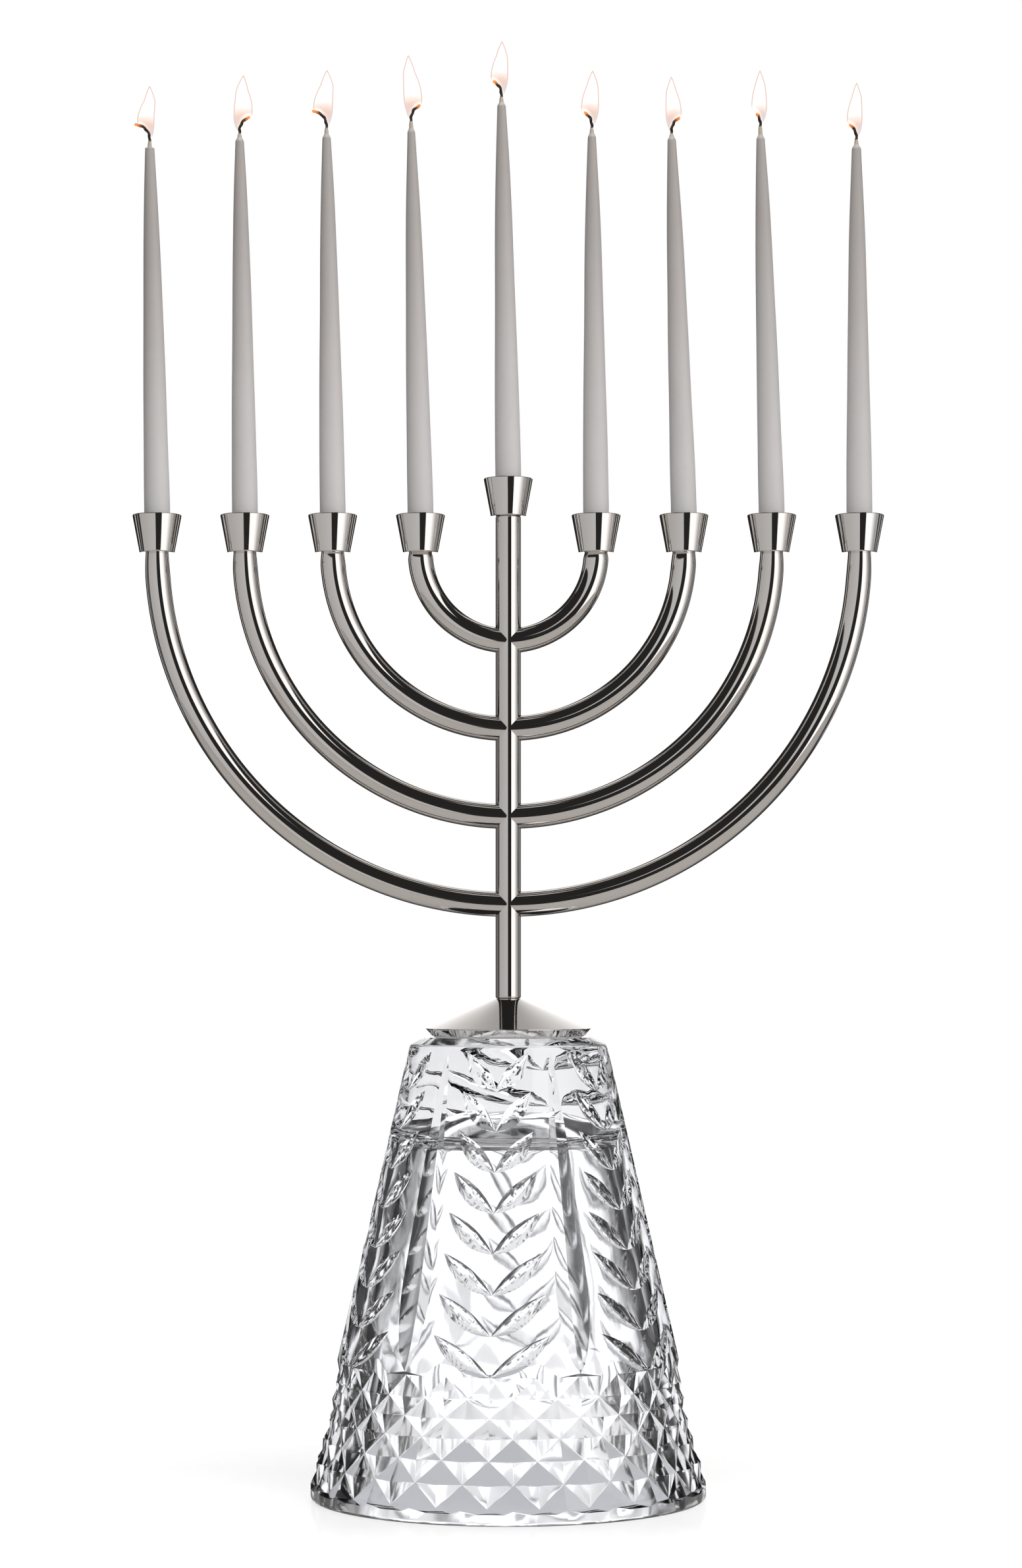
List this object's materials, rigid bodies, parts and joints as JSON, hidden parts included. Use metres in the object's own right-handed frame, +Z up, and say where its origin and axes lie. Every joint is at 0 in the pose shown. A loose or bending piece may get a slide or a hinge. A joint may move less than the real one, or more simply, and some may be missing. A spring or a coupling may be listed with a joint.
{
  "type": "menorah",
  "caption": "Branched candle stand of bent polished rods on a hollow cut-crystal bell base, with a raised centre cup and lift-out taper candles.",
  "frame": {"origin": "middle of the base's underside, on the surface it stands on", "axes": "+Z up along the stem, +X along the row of cups, -Y the front"},
  "size_m": [0.274, 0.144, 0.5163],
  "materials": {
    "crystal": "clear cut crystal, polished facets",
    "nickel": "warm bright nickel plate, mirror polished",
    "steel": "plain zinc-plated screw steel",
    "bond": "clear cured glass bond",
    "wax": "white paraffin wax, soft satin",
    "wick": "braided cotton, charred black at the bare end"
  },
  "bodies": {
    "stand": {"crystal_base": "crystal", "bond_disc": "bond", "cap_plate": "nickel", "stem_washer": "steel", "stem_screw": "steel", "stem": "nickel", "arm_left_1": "nickel", "arm_left_2": "nickel", "arm_left_3": "nickel", "arm_left_4": "nickel", "arm_right_1": "nickel", "arm_right_2": "nickel", "arm_right_3": "nickel", "arm_right_4": "nickel", "cup_left_4": "nickel", "cup_left_3": "nickel", "cup_left_2": "nickel", "cup_left_1": "nickel", "cup_centre": "nickel", "cup_right_1": "nickel", "cup_right_2": "nickel", "cup_right_3": "nickel", "cup_right_4": "nickel", "cup_screws": "steel"},
    "taper_left_4": {"candle_left_4": "wax", "wick_left_4": "wick"},
    "taper_left_3": {"candle_left_3": "wax", "wick_left_3": "wick"},
    "taper_left_2": {"candle_left_2": "wax", "wick_left_2": "wick"},
    "taper_left_1": {"candle_left_1": "wax", "wick_left_1": "wick"},
    "taper_centre": {"candle_centre": "wax", "wick_centre": "wick"},
    "taper_right_1": {"candle_right_1": "wax", "wick_right_1": "wick"},
    "taper_right_2": {"candle_right_2": "wax", "wick_right_2": "wick"},
    "taper_right_3": {"candle_right_3": "wax", "wick_right_3": "wick"},
    "taper_right_4": {"candle_right_4": "wax", "wick_right_4": "wick"}
  },
  "joints": [
    {"name": "lift_left_4", "type": "slide", "parent": "stand", "child": "taper_left_4", "axis": [0, 0, 1], "range_m": [0, 0.04]},
    {"name": "lift_left_3", "type": "slide", "parent": "stand", "child": "taper_left_3", "axis": [0, 0, 1], "range_m": [0, 0.04]},
    {"name": "lift_left_2", "type": "slide", "parent": "stand", "child": "taper_left_2", "axis": [0, 0, 1], "range_m": [0, 0.04]},
    {"name": "lift_left_1", "type": "slide", "parent": "stand", "child": "taper_left_1", "axis": [0, 0, 1], "range_m": [0, 0.04]},
    {"name": "lift_centre", "type": "slide", "parent": "stand", "child": "taper_centre", "axis": [0, 0, 1], "range_m": [0, 0.04]},
    {"name": "lift_right_1", "type": "slide", "parent": "stand", "child": "taper_right_1", "axis": [0, 0, 1], "range_m": [0, 0.04]},
    {"name": "lift_right_2", "type": "slide", "parent": "stand", "child": "taper_right_2", "axis": [0, 0, 1], "range_m": [0, 0.04]},
    {"name": "lift_right_3", "type": "slide", "parent": "stand", "child": "taper_right_3", "axis": [0, 0, 1], "range_m": [0, 0.04]},
    {"name": "lift_right_4", "type": "slide", "parent": "stand", "child": "taper_right_4", "axis": [0, 0, 1], "range_m": [0, 0.04]}
  ]
}
